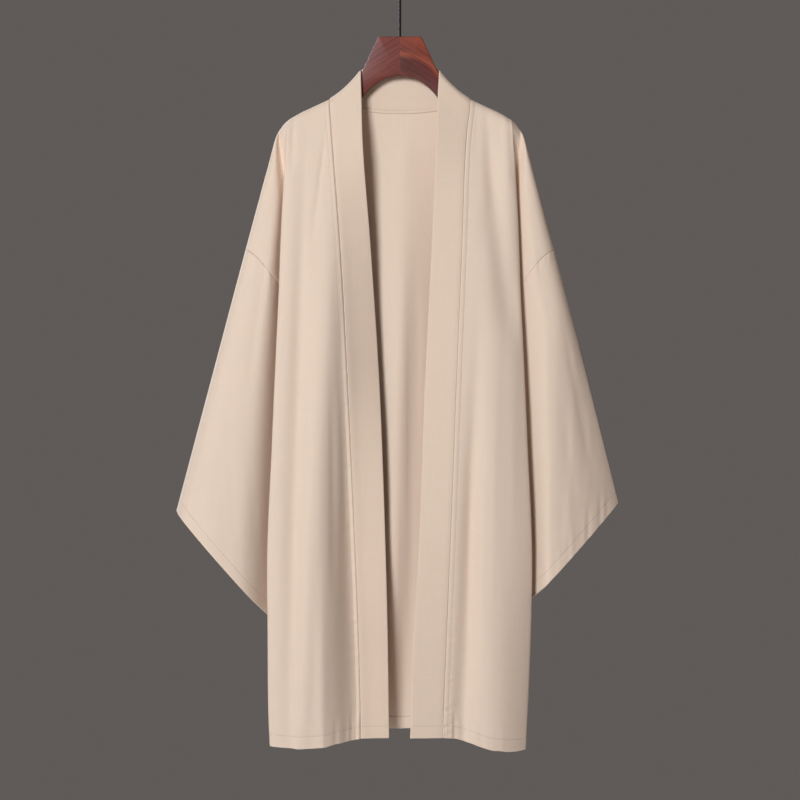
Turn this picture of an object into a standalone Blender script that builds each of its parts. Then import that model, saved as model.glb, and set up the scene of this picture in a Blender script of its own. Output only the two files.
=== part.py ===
"""Open-fronted hanfu jacket with a band collar and wide sleeves, on a wooden hanger.

Metres, +Z up. The origin is the point where the hook rests on its rail and the front
faces -Y. Left and right are the wearer's, so the left side lies at +X. A place on the
cloth is worked out as (out, depth, drop): how far it is from the middle, how far it
stands in front of or behind the hanger's plane, and how far it hangs below the rail.
"""
import math
from collections import namedtuple

import bmesh
import bpy
import numpy as np

FRONT, BACK = -1, 1
RIGHT, LEFT = -1, 1

# Walls and seams
CLOTH = 0.0012
HEM_WALL = 0.0024
BAND_WALL = 0.0024
SEAM_GAP = 0.0003
BAND_SEAM_GAP = 0.00045
NECK_SEAM_GAP = 0.0008
SHOULDER_GAP = 0.0007
SIDE_SEAM_GAP = 0.0015
HEM_DEPTH = 0.018

# Shoulder, neck and hem
NECK_OUT = 0.0990
NECK_DROP = 0.1917
NECK_BACK_DIP = 0.0083
NECK_BACK_DEPTH = 0.0135
TIP_FOLD_OUT = 0.155
TIP_VALLEY_OUT = 0.165
TIP_EDGE_OUT = 0.1755
TIP_EDGE_HUNG = (0.1780, 0.2600)
SHOULDER_ROLL = 0.0105
FOLD_ROUND = 0.0055
HEM_DROP = 1.078
HEM_DIP = {FRONT: 0.014, BACK: 0.008}
HEM_DIP_FROM = 0.055
HEM_DIP_OVER = 0.075
BACK_NECK_FULLNESS = 0.0045

# Upright fold at each side: where it starts to form, and over how long a drop
SIDE_FOLD_DROP = 0.235
SIDE_FOLD_FORMS = 0.090
SIDE_FOLD_SPREAD = 0.025
VALLEY_TOP_DROP = 0.245
VALLEY_END_DROP = 1.086

# Armhole and sleeve: shoulder end and underarm end of the seam, then of the cuff
ARMHOLE_TOP = (0.2165, 0.403)
ARMHOLE_BASE = (0.1260, 0.530)
CUFF_TOP = {RIGHT: (0.3130, 0.7670), LEFT: (0.3085, 0.7575)}
CUFF_BASE = {RIGHT: (0.1640, 0.9360), LEFT: (0.1600, 0.9150)}
ARMHOLE_BULGE = 0.016
CUFF_BULGE = 0.022
TIP_BULGE = 0.006
FULLEST_SHARE = 0.45
SLEEVE_REACH = 0.965
SLEEVE_OUTER_START = 0.0009
SLEEVE_INNER_START = 0.0052

# Collar band
BAND_RIDGE_LIFT = 0.0405
BAND_RIDGE_SAG = 0.0042
BAND_FAN = 0.100
BAND_RIDGE_OUT = 0.0548
BAND_PROUD = 0.003
BAND_BACK_DROP = 0.1535
BAND_BACK_DEPTH = 0.0120

# Hanger and hook
HANGER_HALF = 0.0055
HANGER_EDGE = 0.0040
HANGER_TOP = 0.104
WIRE_R = 0.00175
HOOK_R = 0.020
STEM_TOP_DROP = 0.050
STEM_BEND = 0.006
HOOK_BEND = 0.011
HOOK_START_ANGLE = -58
HOOK_TIP_ANGLE = 205

# Free edge and seam of the collar band on each front, down its length
LAPEL = {
    "drop": (0.150, 0.190, 0.235, 0.400, 0.600, 0.800, 0.950, 1.080),
    "right_edge": (0.0548, 0.0536, 0.0525, 0.0392, 0.0266, 0.0200, 0.0168, 0.0152),
    "left_edge": (0.0548, 0.0525, 0.0510, 0.0438, 0.0340, 0.0268, 0.0186, 0.0138),
    "right_seam": (0.0990, 0.0990, 0.0958, 0.0828, 0.0722, 0.0637, 0.0579, 0.0546),
    "left_seam": (0.0990, 0.0990, 0.0938, 0.0868, 0.0795, 0.0710, 0.0641, 0.0585),
}
# Shoulder line over the hanger, from the collar to the outer edge
SHOULDER = {
    "out": (0.0990, 0.1220, 0.1400, 0.1500, 0.1580, 0.1665, 0.1720, 0.1755),
    "drop": (0.1917, 0.2025, 0.2110, 0.2168, 0.2222, 0.2318, 0.2410, 0.2505),
}
# Upright fold at each side of the body, and how far the two layers stand apart
BODY = {
    "drop": (0.150, 0.200, 0.245, 0.290, 0.360, 0.460, 0.550, 0.670, 0.840, 0.910, 1.000, 1.095),
    "fold": (0.1550, 0.1550, 0.1570, 0.1605, 0.1645, 0.1680, 0.1720, 0.1770, 0.1835, 0.1830,
             0.1800, 0.1752),
    "front": (0.0090, 0.0105, 0.0165, 0.0222, 0.0280, 0.0335, 0.0370, 0.0405, 0.0430, 0.0440,
              0.0450, 0.0460),
    "back": (0.0090, 0.0105, 0.0160, 0.0208, 0.0250, 0.0282, 0.0300, 0.0318, 0.0335, 0.0340,
             0.0350, 0.0360),
}
# Valley behind that fold: it runs from the hanger's tip to the underarm, and from
# there down as the side seam, tucked in between the two layers
VALLEY = {
    "drop": (0.245, 0.280, 0.340, 0.420, 0.480, 0.530, 0.570, 0.700, 0.900, 1.095),
    "out": (0.1665, 0.1600, 0.1500, 0.1390, 0.1320, 0.1260, 0.1200, 0.1120, 0.1080, 0.1060),
    "depth": (0.0090, 0.0080, 0.0095, 0.0110, 0.0085, SIDE_SEAM_GAP / 2, SIDE_SEAM_GAP / 2,
              SIDE_SEAM_GAP / 2, SIDE_SEAM_GAP / 2, SIDE_SEAM_GAP),
}
# Largest folds: a line down the layer, its half-width, and its height towards the outside
Fold = namedtuple("Fold", "face top_x top_drop end_x end_drop top_width end_width height")
FOLDS = (
    Fold(FRONT, -0.098, 0.500, -0.080, 1.300, 0.014, 0.034, -0.024),
    Fold(FRONT, -0.138, 0.420, -0.138, 1.300, 0.022, 0.034, 0.012),
    Fold(FRONT, -0.143, 0.260, -0.150, 0.760, 0.012, 0.016, -0.006),
    Fold(FRONT, 0.094, 0.560, 0.080, 1.300, 0.014, 0.032, -0.022),
    Fold(FRONT, 0.112, 0.420, 0.126, 1.300, 0.020, 0.032, 0.012),
    Fold(FRONT, 0.126, 0.240, 0.160, 0.760, 0.012, 0.016, -0.006),
    Fold(BACK, -0.112, 0.300, -0.104, 1.300, 0.020, 0.032, -0.018),
    Fold(BACK, -0.040, 0.420, -0.052, 1.300, 0.024, 0.036, 0.014),
    Fold(BACK, 0.014, 0.420, 0.010, 1.300, 0.016, 0.030, -0.012),
    Fold(BACK, 0.068, 0.360, 0.060, 1.300, 0.022, 0.034, 0.012),
    Fold(BACK, 0.120, 0.300, 0.112, 1.300, 0.018, 0.030, -0.016),
)
# Half of the hanger's outline, from the middle of its top round to the middle of its arch
HANGER = {
    "out": (0.0285, 0.0306, 0.0525, 0.0620, 0.0800, 0.1000, 0.1220, 0.1400, 0.1500, 0.1570,
            0.1612, 0.1618, 0.1575, 0.1480, 0.1250, 0.1000, 0.0800, 0.0660, 0.0545, 0.0480,
            0.0360, 0.0200),
    "drop": (0.1040, 0.1056, 0.1520, 0.1655, 0.1842, 0.1946, 0.2043, 0.2127, 0.2185, 0.2240,
             0.2300, 0.2360, 0.2400, 0.2395, 0.2300, 0.2200, 0.2115, 0.2035, 0.1915, 0.1828,
             0.1715, 0.1622),
    "arch_drop": 0.1588,
}

# Where the rows and columns of the cloth grids lie
ROLL_ANGLES = (0, 32, 62)
ARMHOLE_SHARE = (ARMHOLE_BASE[1] - VALLEY_TOP_DROP) / (VALLEY_END_DROP - VALLEY_TOP_DROP)
HEM_SHARE = 1 - HEM_DEPTH / (HEM_DROP - NECK_DROP)
ARMHOLE_PARTS = (0, 0.07, 0.17, 0.3, 0.47, 0.64, 0.8, 0.92, 1)
ROWS_TO_ARMHOLE = tuple(ARMHOLE_SHARE * part for part in ARMHOLE_PARTS)
ROWS_TO_HEM = (0.39, 0.45, 0.52, 0.60, 0.68, 0.76, 0.84, 0.92, HEM_SHARE - 0.002, HEM_SHARE, 1)
FRONT_SHARES = (0, 0.14, 0.28, 0.42, 0.56, 0.70, 0.82, 0.92, 0.985)
BACK_NECK_SHARE = NECK_OUT / TIP_FOLD_OUT
NECK_SHARES = (0, 0.17, 0.34, 0.50, 0.66, 0.80, 0.92)
BACK_NECK_SHARES = tuple(BACK_NECK_SHARE * share for share in NECK_SHARES + (1,))
BACK_SHARES = BACK_NECK_SHARES + (0.74, 0.83, 0.92, 0.985)
FLANK_SHARES = (0.04, 0.12, 0.30, 0.50, 0.70, 0.88)
ARM_SHARES = (0.95, 0.87, 0.735, 0.58, 0.425, 0.27, 0.135, 0.05, 0.01)
SLEEVE_ROWS = (0, 0.08, 0.18, 0.30, 0.42, 0.54, 0.66, 0.78, 0.88, 0.947, 0.952, 1)
BAND_SHARES = (0, 0.06, 0.37, 0.68, 1)


def mix(a, b, share):
    return a + (b - a) * share


def ease(share):
    share = min(max(share, 0.0), 1.0)
    return share * share * (3 - 2 * share)


def read(table, column, place):
    """Value of a column at a place, on a smooth curve through the table's rows."""
    places = np.array(next(iter(table.values())))
    values = np.array(table[column])
    slopes = np.gradient(values, places)
    place = min(max(place, places[0]), places[-1])
    row = min(max(int(np.searchsorted(places, place)) - 1, 0), len(places) - 2)
    span = places[row + 1] - places[row]
    t = (place - places[row]) / span
    start = (1 + 2 * t) * (1 - t) ** 2 * values[row] + t * (1 - t) ** 2 * span * slopes[row]
    end = t * t * (3 - 2 * t) * values[row + 1] - t * t * (1 - t) * span * slopes[row + 1]
    return float(start + end)


def fold_height(face, x, drop):
    """Height of the large folds at a place on one layer of the body."""
    height = 0.0
    for fold in FOLDS:
        if fold.face == face:
            down = min(max((drop - fold.top_drop) / (fold.end_drop - fold.top_drop), 0), 1)
            centre = mix(fold.top_x, fold.end_x, down)
            width = mix(fold.top_width, fold.end_width, down)
            strength = ease(2.2 * down) * ease(4 * (1 - down))
            height += fold.height * strength * math.exp(-((x - centre) / width) ** 2)
    return height


def shoulder_point(out):
    """Place on the shoulder line, on one panel's side of the seam."""
    return np.array((out, SHOULDER_GAP / 2, read(SHOULDER, "drop", out)))


def neck_point(share):
    """Place on the back neckline, which goes behind the hanger from shoulder to shoulder."""
    turn = math.pi / 2 * share
    out = NECK_OUT * math.sqrt(math.sin(turn))
    depth = max(SHOULDER_GAP / 2, NECK_BACK_DEPTH * math.sqrt(max(0, math.cos(turn))))
    return np.array((out, depth, NECK_DROP + NECK_BACK_DIP * (1 - (out / NECK_OUT) ** 2)))


def top_point(face, share):
    """Place on a panel's top edge, a share of the way from its inner edge to its fold."""
    if face == FRONT:
        return shoulder_point(mix(NECK_OUT, TIP_FOLD_OUT, share))
    if share < BACK_NECK_SHARE:
        return neck_point(share / BACK_NECK_SHARE)
    return shoulder_point(TIP_FOLD_OUT * share)


def fold_open(drop):
    """How far the upright side fold has formed, from none at the hanger's tip."""
    return ease((drop - SIDE_FOLD_DROP) / SIDE_FOLD_FORMS)


def layer_point(side, face, share, down):
    """Place on a panel's outer layer, a share of the way from its inner edge to its fold."""
    start = top_point(face, share)[2] + SHOULDER_ROLL
    drop = mix(start, HEM_DROP + HEM_DIP[face] / 2, down)
    inner = 0.0
    if face == FRONT:
        inner = read(LAPEL, "left_seam" if side == LEFT else "right_seam", drop)
    out = mix(inner, read(BODY, "fold", drop), share)
    hem = HEM_DROP + HEM_DIP[face] * ease((out - HEM_DIP_FROM) / HEM_DIP_OVER)
    drop = mix(start, hem, down)
    depth = read(BODY, "front" if face == FRONT else "back", drop)
    depth += fold_height(face, side * out, drop) * ease((1 - share) / 0.12)
    if face == BACK:
        depth += BACK_NECK_FULLNESS * max(0, 1 - (out / NECK_OUT) ** 2) * (1 - down) ** 8
    turn = max(0, (share - 0.8) / 0.2)
    depth -= FOLD_ROUND * fold_open(drop) * (1 - math.sqrt(1 - turn * turn))
    return np.array((out, depth, drop))


def arm_point(outer, inner, share, bulge, bend, reach=0.0):
    """Place on one layer of the arm, which swells between its outer and inner edges."""
    drop = outer[1] + (inner[1] - outer[1]) * share ** bend
    swell = math.sin(math.pi / 2 * min(1, share / FULLEST_SHARE) ** 0.8) ** 0.75
    swell *= 1 - max(0, share - FULLEST_SHARE) / (1 - FULLEST_SHARE)
    return np.array((mix(outer[0], inner[0], share), bulge * swell + reach, drop))


def half_row(side, face, down):
    """One row of a panel, from its inner edge round the fold to its outer edge."""
    shares = FRONT_SHARES if face == FRONT else BACK_SHARES
    row = [layer_point(side, face, share, down) for share in shares]
    fold = layer_point(side, face, 1, down)
    row.append(fold)
    valley_drop = mix(VALLEY_TOP_DROP, VALLEY_END_DROP, down)
    valley = np.array((read(VALLEY, "out", valley_drop), read(VALLEY, "depth", valley_drop),
                       valley_drop))
    tuck = ease((fold[0] - valley[0]) / SIDE_FOLD_SPREAD)
    for share in FLANK_SHARES:
        flank = mix(fold, valley, share)
        flank[1] = mix(fold[1], valley[1], share ** mix(1, 2.4, tuck))
        flank[1] -= FOLD_ROUND * tuck * ease(share / 0.08) * (1 - share) ** 1.5
        row.append(flank)
    row.append(valley)
    arm = down / ARMHOLE_SHARE
    for share in ARM_SHARES[1:] + (0,):
        if arm > 1 + 1e-9:
            row.append(np.full(3, np.nan))
            continue
        outer = mix(np.array(TIP_EDGE_HUNG), np.array(ARMHOLE_TOP), arm)
        reach = valley[1] * share ** mix(2, 10, ease(arm / 0.25))
        bulge = mix(TIP_BULGE, ARMHOLE_BULGE, ease(arm))
        place = arm_point(outer, valley[[0, 2]], share, bulge, 1.5, reach)
        place[1] = max(place[1], SHOULDER_GAP / 2)
        row.append(place)
    return np.array(row)


def top_row(face):
    """The row of a panel that lies along its top edge."""
    shares = FRONT_SHARES if face == FRONT else BACK_SHARES
    row = [top_point(face, share) for share in shares + (1,)]
    outs = [mix(TIP_FOLD_OUT, TIP_VALLEY_OUT, share) for share in FLANK_SHARES + (1,)]
    outs += [mix(TIP_EDGE_OUT, TIP_VALLEY_OUT, share) for share in ARM_SHARES[1:] + (0,)]
    return np.array(row + [shoulder_point(out) for out in outs])


def half_panel(side, face):
    """Rows of one side of a panel, from the roll over the hanger down to the hem."""
    top = top_row(face)
    hung = half_row(side, face, 0)
    rows = []
    for angle in ROLL_ANGLES:
        turn = math.radians(angle)
        row = mix(top, hung, 1 - math.cos(turn))
        row[:, 1] = mix(top[:, 1], hung[:, 1], math.sin(turn))
        rows.append(row)
    rows += [half_row(side, face, down) for down in ROWS_TO_ARMHOLE + ROWS_TO_HEM]
    return np.array(rows)


def world(side, face, places):
    """Places given as (out, depth, drop), as world coordinates."""
    return places * np.array((side, face, -1))


def sleeve_points(side):
    """Rings of a sleeve from the armhole to the cuff, each round from the inner edge."""
    rings = []
    for down in SLEEVE_ROWS:
        outer_down = max(down, SLEEVE_OUTER_START)
        inner_down = max(down, SLEEVE_INNER_START)
        outer = mix(np.array(ARMHOLE_TOP), np.array(CUFF_TOP[side]), outer_down)
        inner = mix(np.array(ARMHOLE_BASE), np.array(CUFF_BASE[side]), inner_down)
        bulge = mix(ARMHOLE_BULGE, CUFF_BULGE, down)
        bend = mix(1.5, 1.0, ease(down))
        layer = [arm_point(outer, inner, share, bulge, bend) for share in ARM_SHARES]
        inner_end = arm_point(outer, inner, SLEEVE_REACH, 0, bend)
        outer_end = arm_point(outer, inner, 0, 0, bend)
        front = world(side, FRONT, np.array(layer))
        back = world(side, BACK, np.array(layer))
        ends = world(side, FRONT, np.array((inner_end, outer_end)))
        rings.append(np.concatenate((ends[:1], front, ends[1:], back[::-1], ends[:1])))
    return np.array(rings)


def band_row(seam, edge, sag):
    """Places across the collar band, from its seam to its free edge."""
    return np.array([mix(seam, edge, share) + np.array((0, 0, 4 * sag * share * (1 - share)))
                     for share in BAND_SHARES])


def band_rows(side):
    """Rows of the collar on one side, each from its seam to its free edge, hem to mid neck.

    At the shoulder the band is folded along a ridge, which sags between seam and edge.
    """
    edge_column = "left_edge" if side == LEFT else "right_edge"
    seam = half_panel(side, FRONT)[::-1, 0]
    turns = [math.radians(angle) for angle in ROLL_ANGLES]
    rows = []
    for row, place in enumerate(seam):
        lift = BAND_RIDGE_LIFT * (1 - ease((place[2] - NECK_DROP) / BAND_FAN))
        drop = place[2] - lift
        depth = read(BODY, "front", drop) + BAND_PROUD * ease((drop - 0.3) / 0.3)
        roll = len(seam) - 1 - row
        sag = 0.0
        if roll < len(turns):
            depth *= math.sin(turns[roll])
            sag = BAND_RIDGE_SAG * math.cos(turns[roll])
        edge = np.array((read(LAPEL, edge_column, drop), depth, drop))
        start = place + (edge - place) * BAND_SEAM_GAP / np.linalg.norm(edge - place)
        rows.append(world(side, FRONT, band_row(start, edge, sag)))
    for share in NECK_SHARES[:0:-1]:
        place = neck_point(share) - np.array((0, 0, NECK_SEAM_GAP))
        round_neck = (1 - share) ** 2.1
        turn = math.pi / 2 * round_neck
        edge_drop = mix(NECK_DROP - BAND_RIDGE_LIFT, BAND_BACK_DROP, round_neck)
        edge = np.array((BAND_RIDGE_OUT * math.sqrt(math.cos(turn)),
                         BAND_BACK_DEPTH * math.sqrt(math.sin(turn)), edge_drop))
        rows.append(world(side, BACK, band_row(place, edge, BAND_RIDGE_SAG * (1 - round_neck) ** 4)))
    return np.array(rows)


def material(name, colour, roughness, metallic=0.0):
    made = bpy.data.materials.new(name)
    made.use_nodes = True
    shader = made.node_tree.nodes["Principled BSDF"]
    shader.inputs["Base Color"].default_value = (*colour, 1)
    shader.inputs["Roughness"].default_value = roughness
    shader.inputs["Metallic"].default_value = metallic
    return made


def cloth(name, points, walls, surface, outward):
    """Sewn piece: a grid laid over points[row, column], with a wall for each of them.

    Grid places that have no point are cut away.
    """
    rows, columns = points.shape[:2]
    bm = bmesh.new()
    bmesh.ops.create_grid(bm, x_segments=columns - 1, y_segments=rows - 1, size=0.5)
    weights = bm.verts.layers.deform.verify()
    places = {vert: (round((vert.co.y + 0.5) * (rows - 1)), round((vert.co.x + 0.5) * (columns - 1)))
              for vert in bm.verts}
    for vert, place in places.items():
        vert.co = np.nan_to_num(points[place])
        vert[weights][0] = walls[place] / walls.max()
    missing = [vert for vert, place in places.items() if np.isnan(points[place]).any()]
    bmesh.ops.delete(bm, geom=missing, context="VERTS")
    bmesh.ops.remove_doubles(bm, verts=bm.verts, dist=1e-6)
    if not outward:
        bmesh.ops.reverse_faces(bm, faces=bm.faces)
    mesh = bpy.data.meshes.new(name)
    bm.to_mesh(mesh)
    bm.free()
    mesh.materials.append(surface)
    piece = bpy.data.objects.new(name, mesh)
    piece.vertex_groups.new(name="wall")
    solid = piece.modifiers.new("Wall", "SOLIDIFY")
    solid.thickness = walls.max()
    solid.offset = 0
    solid.vertex_group = "wall"
    parts.objects.link(piece)
    return piece


def hemmed(points):
    """Wall of a piece whose last rows are turned up and sewn."""
    walls = np.full(points.shape[:2], CLOTH)
    walls[-2:] = HEM_WALL
    return walls


def hanger_half(name, side, surface):
    """One half of the flat hanger, with rounded edges, sawn flat where the two are glued."""
    outs = HANGER["out"]
    drops = HANGER["drop"]
    right = list(zip(outs, drops))
    left = [(-out, drop) for out, drop in reversed(right)]
    outline = right + [(0, HANGER["arch_drop"])] + left
    curve = bpy.data.curves.new(name + "_outline", "CURVE")
    curve.dimensions = "2D"
    curve.fill_mode = "BOTH"
    curve.extrude = HANGER_HALF - HANGER_EDGE
    curve.bevel_depth = HANGER_EDGE
    curve.bevel_resolution = 2
    curve.offset = -HANGER_EDGE
    spline = curve.splines.new("POLY")
    spline.points.add(len(outline) - 1)
    for point, (out, drop) in zip(spline.points, outline):
        point.co = (out, -drop, 0, 1)
    spline.use_cyclic_u = True
    blank = bpy.data.objects.new(name + "_outline", curve)
    bm = bmesh.new()
    bm.from_mesh(blank.to_mesh())
    blank.to_mesh_clear()
    bpy.data.objects.remove(blank)
    bmesh.ops.remove_doubles(bm, verts=bm.verts, dist=1e-6)
    cut = bmesh.ops.bisect_plane(bm, geom=bm.verts[:] + bm.edges[:] + bm.faces[:], dist=1e-6,
                                 plane_co=(side * SEAM_GAP / 2, 0, 0), plane_no=(-side, 0, 0),
                                 clear_outer=True)
    edges = [item for item in cut["geom_cut"] if isinstance(item, bmesh.types.BMEdge)]
    bmesh.ops.contextual_create(bm, geom=edges)
    for vert in bm.verts:
        x, y, z = vert.co
        vert.co = (x, -z, y)
    bmesh.ops.recalc_face_normals(bm, faces=bm.faces)
    mesh = bpy.data.meshes.new(name)
    bm.to_mesh(mesh)
    bm.free()
    mesh.materials.append(surface)
    parts.objects.link(bpy.data.objects.new(name, mesh))


def hook(name, surface):
    """Wire hook: a straight stem that swings aside and turns over the rail."""
    centre = -(HOOK_R - WIRE_R)
    points = [(0, -HANGER_TOP + SEAM_GAP), (0, -(HANGER_TOP + STEM_TOP_DROP) / 2), (0, -STEM_TOP_DROP)]
    start = math.radians(HOOK_START_ANGLE)
    ring_x = HOOK_R * math.cos(start)
    ring_z = centre + HOOK_R * math.sin(start)
    lead = (ring_x + HOOK_BEND * math.sin(start), ring_z - HOOK_BEND * math.cos(start))
    stem = (0, -STEM_TOP_DROP + STEM_BEND)
    first = (0, -STEM_TOP_DROP)
    for step in range(1, 8):
        t = step / 8
        weights = ((1 - t) ** 3, 3 * t * (1 - t) ** 2, 3 * t * t * (1 - t), t ** 3)
        corners = (first, stem, lead, (ring_x, ring_z))
        points.append(tuple(sum(w * c[axis] for w, c in zip(weights, corners)) for axis in (0, 1)))
    for step in range(29):
        angle = math.radians(mix(HOOK_START_ANGLE, HOOK_TIP_ANGLE, step / 28))
        points.append((HOOK_R * math.cos(angle), centre + HOOK_R * math.sin(angle)))
    curve = bpy.data.curves.new(name, "CURVE")
    curve.dimensions = "3D"
    curve.bevel_depth = WIRE_R
    curve.bevel_resolution = 2
    curve.use_fill_caps = True
    spline = curve.splines.new("POLY")
    spline.points.add(len(points) - 1)
    for point, (x, z) in zip(spline.points, points):
        point.co = (x, 0, z, 1)
    curve.materials.append(surface)
    parts.objects.link(bpy.data.objects.new(name, curve))


for old in list(bpy.data.objects):
    bpy.data.objects.remove(old)
parts = bpy.data.collections.new("hanfu_jacket_on_hanger")
bpy.context.scene.collection.children.link(parts)

woven = material("woven_cloth", (0.70, 0.55, 0.44), 0.85)
band = material("collar_cloth", (0.66, 0.52, 0.42), 0.85)
wood = material("red_brown_wood", (0.19, 0.055, 0.042), 0.35)
steel = material("dark_steel", (0.02, 0.02, 0.022), 0.4, 0.9)

# Fronts, each cut with its half of the shoulder and its side
for side, name in ((RIGHT, "front_right"), (LEFT, "front_left")):
    front_points = world(side, FRONT, half_panel(side, FRONT))
    cloth(name, front_points, hemmed(front_points), woven, side == RIGHT)

# Back, cut in one piece across, with the neckline in its top edge
back_right = world(RIGHT, BACK, half_panel(RIGHT, BACK))
back_left = world(LEFT, BACK, half_panel(LEFT, BACK))
back_points = np.concatenate((back_right[:, ::-1], back_left[:, 1:]), axis=1)
cloth("back", back_points, hemmed(back_points), woven, True)

# Sleeves, each a tube sewn into its armhole and hemmed at the cuff
for side, name in ((RIGHT, "sleeve_right"), (LEFT, "sleeve_left")):
    sleeve = sleeve_points(side)
    cloth(name, sleeve, hemmed(sleeve), woven, side == RIGHT)

# Collar, one folded band from hem to hem round the neck, thin where it is sewn on
neck = neck_point(0) - np.array((0, 0, NECK_SEAM_GAP))
middle = world(LEFT, BACK, band_row(neck, np.array((0, BAND_BACK_DEPTH, BAND_BACK_DROP)), 0))
collar_points = np.concatenate((band_rows(RIGHT), middle[None], band_rows(LEFT)[::-1]))
collar_walls = np.full(collar_points.shape[:2], BAND_WALL)
collar_walls[:, 0] = CLOTH
cloth("collar", collar_points, collar_walls, band, True)

# Hanger in two glued halves, and the hook in its top
hanger_half("hanger_right", RIGHT, wood)
hanger_half("hanger_left", LEFT, wood)
hook("hook", steel)
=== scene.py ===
import math
from collections import namedtuple

import bmesh
import bpy
import numpy as np
from mathutils import Matrix, Vector

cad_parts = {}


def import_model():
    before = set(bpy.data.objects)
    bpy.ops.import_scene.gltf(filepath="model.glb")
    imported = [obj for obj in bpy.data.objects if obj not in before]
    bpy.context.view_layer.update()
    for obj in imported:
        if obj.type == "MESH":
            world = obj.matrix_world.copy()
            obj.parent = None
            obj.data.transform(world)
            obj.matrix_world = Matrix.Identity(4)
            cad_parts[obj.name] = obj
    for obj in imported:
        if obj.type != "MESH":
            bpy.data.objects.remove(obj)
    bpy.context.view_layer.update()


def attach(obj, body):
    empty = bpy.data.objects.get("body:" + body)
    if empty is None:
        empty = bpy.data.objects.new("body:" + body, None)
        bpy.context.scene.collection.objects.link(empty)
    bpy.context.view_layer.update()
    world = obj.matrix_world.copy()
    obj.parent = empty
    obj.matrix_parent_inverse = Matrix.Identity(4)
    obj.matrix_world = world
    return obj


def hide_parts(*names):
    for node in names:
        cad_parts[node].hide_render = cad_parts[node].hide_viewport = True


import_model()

# Back: one width of plain beige cloth with the neckline cut into its top edge. It hangs over the
# hanger's arms, sewn to the fronts at shoulders and sides, and its hem is turned up and stitched.
# A place on the cloth is (out, depth, drop): from the middle, from the hanger, below the rail.
FRONT, BACK = -1, 1
RIGHT, LEFT = -1, 1
HALF = {RIGHT: "right", LEFT: "left"}
RIPPLE_WAVES = ((1.0, 1.0, 1.0), (0.8, 0.61, 2.3), (0.6, 1.73, 4.1))


def mix(a, b, share):
    return a + (b - a) * share


def ease(share):
    share = np.clip(share, 0, 1)
    return share * share * (3 - 2 * share)


def onset(place, start, run):
    """0 up to a start, rising softly to 1 over the run that follows it."""
    return ease((place - start) / run)


def bell(distance, width):
    """A soft ridge: 1 on its line and nothing a few widths away."""
    return np.exp(-(distance / width) ** 2)


def ripple(place, pitch, start):
    """Uneven gathering along a seam, from about -1 to 1."""
    turn = 2 * np.pi * place / pitch
    waves = [size * np.sin(rate * turn + shift * start) for size, rate, shift in RIPPLE_WAVES]
    return sum(waves) / sum(size for size, rate, shift in RIPPLE_WAVES)


def read(table, column, place):
    """Values of a column at some places, on a smooth curve through the table's rows."""
    stops = np.array(next(iter(table.values())))
    values = np.array(table[column])
    slopes = np.gradient(values, stops)
    place = np.clip(place, stops[0], stops[-1])
    row = np.clip(np.searchsorted(stops, place) - 1, 0, len(stops) - 2)
    span = stops[row + 1] - stops[row]
    t = (place - stops[row]) / span
    start = (1 + 2 * t) * (1 - t) ** 2 * values[row] + t * (1 - t) ** 2 * span * slopes[row]
    end = t * t * (3 - 2 * t) * values[row + 1] - t * t * (1 - t) * span * slopes[row + 1]
    return start + end


joined = np.concatenate


def places(out, depth, drop):
    return np.stack(np.broadcast_arrays(out, depth, drop), axis=-1).astype(float)


def world(side, face, points):
    return points * np.array((side, face, -1))


Fold = namedtuple("Fold", "top_x top_drop end_x end_drop top_width end_width height")
FOLD_FORMS = 2.2
FOLD_FADES = 4


def fold_height(folds, x, drop):
    """Height of a panel's folds and creases, towards its outside."""
    height = 0.0
    for fold in folds:
        down = np.clip((drop - fold.top_drop) / (fold.end_drop - fold.top_drop), 0, 1)
        centre = mix(fold.top_x, fold.end_x, down)
        width = mix(fold.top_width, fold.end_width, down)
        strength = ease(FOLD_FORMS * down) * ease(FOLD_FADES * (1 - down))
        height = height + fold.height * strength * bell(x - centre, width)
    return height


SHOULDER_GAP = 0.0004
SHOULDER = {
    "out": (0.0990, 0.1220, 0.1400, 0.1500, 0.1580, 0.1665, 0.1720, 0.1755),
    "drop": (0.1917, 0.2025, 0.2110, 0.2168, 0.2222, 0.2318, 0.2410, 0.2505),
}
NECK_OUT = 0.0990
NECK_DROP = 0.1917
NECK_BACK_DIP = 0.0145
NECK_BACK_DEPTH = 0.0135


def shoulder_line(out):
    return places(out, SHOULDER_GAP / 2, read(SHOULDER, "drop", out))


def neck_line(turn):
    """Back neckline, behind the hanger, from the middle (0) to the shoulder (1)."""
    out = NECK_OUT * np.sqrt(np.sin(np.pi / 2 * turn))
    depth = NECK_BACK_DEPTH * np.sqrt(np.clip(np.cos(np.pi / 2 * turn), 0, 1))
    drop = NECK_DROP + NECK_BACK_DIP * (1 - (out / NECK_OUT) ** 2)
    return places(out, np.maximum(depth, SHOULDER_GAP / 2), drop)


BODY = {
    "drop": (0.150, 0.200, 0.245, 0.290, 0.360, 0.460, 0.550, 0.670, 0.840, 0.910, 1.000, 1.095),
    "fold": (0.1550, 0.1550, 0.1570, 0.1605, 0.1645, 0.1680, 0.1720, 0.1770, 0.1835, 0.1830, 0.1800, 0.1752),
    "front": (0.0090, 0.0105, 0.0165, 0.0222, 0.0280, 0.0335, 0.0370, 0.0405, 0.0430, 0.0440, 0.0450, 0.0460),
    "back": (0.0090, 0.0105, 0.0160, 0.0208, 0.0250, 0.0282, 0.0300, 0.0318, 0.0335, 0.0340, 0.0350, 0.0360),
}
HEM_FLARE = {RIGHT: 0.0042, LEFT: 0.0}
FLARE_FROM = (0.90, 0.18)


def body_fold(side, drop):
    """How far out the body's side fold hangs, a little farther where the hem flares."""
    return read(BODY, "fold", drop) + HEM_FLARE[side] * onset(drop, *FLARE_FROM)


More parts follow.
